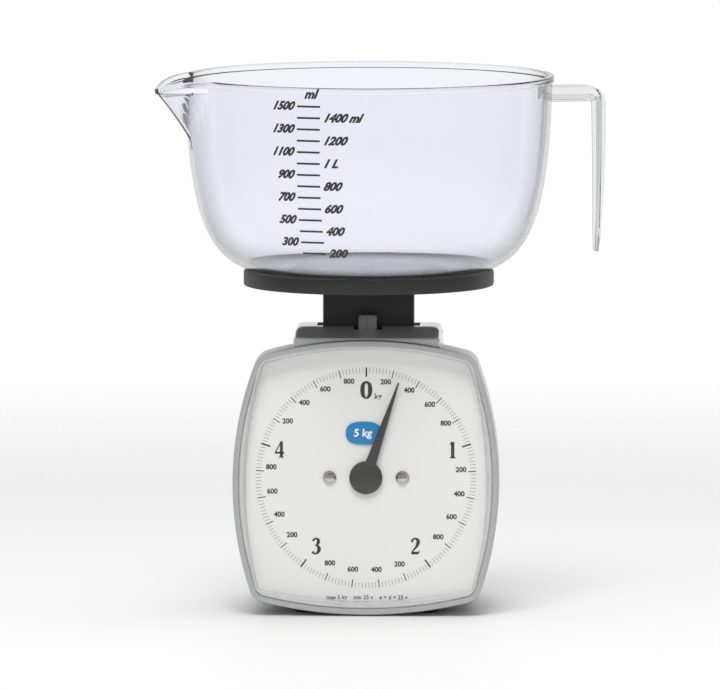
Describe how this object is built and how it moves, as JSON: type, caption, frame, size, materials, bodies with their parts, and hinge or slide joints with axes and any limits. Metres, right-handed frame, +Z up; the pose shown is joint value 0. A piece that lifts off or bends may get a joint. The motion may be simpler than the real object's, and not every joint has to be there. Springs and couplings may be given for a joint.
{
  "type": "kitchen scale",
  "caption": "Mechanical kitchen scale: round platform on a flat neck, leaning dial in a silver housing, and a clear lift-off measuring bowl with pouring spout and open strap handle.",
  "frame": {"origin": "on the surface the feet stand on, under the middle of the whole object's footprint with the bowl in place", "axes": "+Z up, -Y out of the dial, +X to the reader's right, which is the bowl handle's side"},
  "size_m": [0.2038, 0.169, 0.2425],
  "materials": {
    "silver_plastic": "satin",
    "dark_plastic": "satin",
    "grey_plastic": "satin",
    "clear_plastic": "gloss",
    "dial_card": "matte",
    "pointer_black": "satin",
    "badge_blue": "gloss",
    "dial_screw_chrome": "polished",
    "pressed_steel": "satin",
    "screw_steel": "satin",
    "spring_steel": "satin",
    "brass": "satin",
    "foot_rubber": "matte"
  },
  "bodies": {
    "housing": {"base_plate": "grey_plastic", "base_screw_front_left": "screw_steel", "base_screw_front_right": "screw_steel", "base_screw_rear_left": "screw_steel", "base_screw_rear_right": "screw_steel", "bezel_ring": "silver_plastic", "chassis": "pressed_steel", "chassis_screw_left": "screw_steel", "chassis_screw_right": "screw_steel", "dial_badge": "badge_blue", "dial_plate": "dial_card", "dial_screw_left": "dial_screw_chrome", "dial_screw_right": "dial_screw_chrome", "dial_window": "clear_plastic", "foot_front_left": "foot_rubber", "foot_front_right": "foot_rubber", "foot_rear_left": "foot_rubber", "foot_rear_right": "foot_rubber", "hood": "silver_plastic", "hood_screw_left": "screw_steel", "hood_screw_right": "screw_steel", "lower_chassis_pin": "pressed_steel", "rear_housing": "silver_plastic", "spindle_bush": "brass", "spring_left": "spring_steel", "spring_right": "spring_steel", "upper_chassis_pin": "pressed_steel"},
    "load_carrier": {"platform": "dark_plastic", "neck": "dark_plastic", "load_carrier": "pressed_steel", "carrier_screw_left": "screw_steel", "carrier_screw_right": "screw_steel", "platform_screw_left": "screw_steel", "platform_screw_right": "screw_steel", "upper_carrier_pin": "pressed_steel", "lower_carrier_pin": "pressed_steel", "gear_rack": "brass", "rack_screw": "screw_steel"},
    "pointer": {"pointer": "pointer_black", "pinion_spindle": "brass"},
    "upper_link": {"upper_link": "pressed_steel"},
    "lower_link": {"lower_link": "pressed_steel"},
    "zero_slider": {"zero_slider": "grey_plastic"},
    "spring_hanger": {"spring_hanger": "pressed_steel"},
    "measuring_bowl": {"measuring_bowl": "clear_plastic"}
  },
  "joints": [
    {"name": "load_travel", "type": "slide", "parent": "housing", "child": "load_carrier", "axis": [0, 0, -1], "range_m": [-0.00066, 0.01197], "stiffness_N_per_m": 3882, "springref_m": -0.00072, "deforming": ["spring_left", "spring_right"]},
    {"name": "pointer_turn", "type": "hinge", "parent": "housing", "child": "pointer", "pos_m": [-0.00576, -0.0435, 0.0625], "axis": [0, 0.9945, -0.1045], "range_deg": [-18.95, 341.2]},
    {"name": "upper_link_swing", "type": "hinge", "parent": "housing", "child": "upper_link", "pos_m": [-0.00576, -0.0262, 0.1], "axis": [-1, 0, 0], "range_deg": [-0.98, 17.45]},
    {"name": "lower_link_swing", "type": "hinge", "parent": "housing", "child": "lower_link", "pos_m": [-0.00576, -0.0262, 0.032], "axis": [-1, 0, 0], "range_deg": [-0.98, 17.45]},
    {"name": "zero_slide", "type": "slide", "parent": "housing", "child": "zero_slider", "axis": [1, 0, 0], "range_m": [-0.002, 0.002]},
    {"name": "hanger_lift", "type": "slide", "parent": "housing", "child": "spring_hanger", "axis": [0, 0, 1], "range_m": [-0.00041, 0.00041]},
    {"name": "bowl_lift", "type": "slide", "parent": "load_carrier", "child": "measuring_bowl", "axis": [0, 0, 1], "range_m": [0, 0.1]}
  ],
  "couplings": [
    {"joint": "pointer_turn", "follows": "load_travel", "rad_per_m": 497.26},
    {"joint": "upper_link_swing", "follows": "load_travel", "rad_per_m": 25.41},
    {"joint": "lower_link_swing", "follows": "load_travel", "rad_per_m": 25.41},
    {"joint": "hanger_lift", "follows": "zero_slide", "ratio": -0.2}
  ]
}
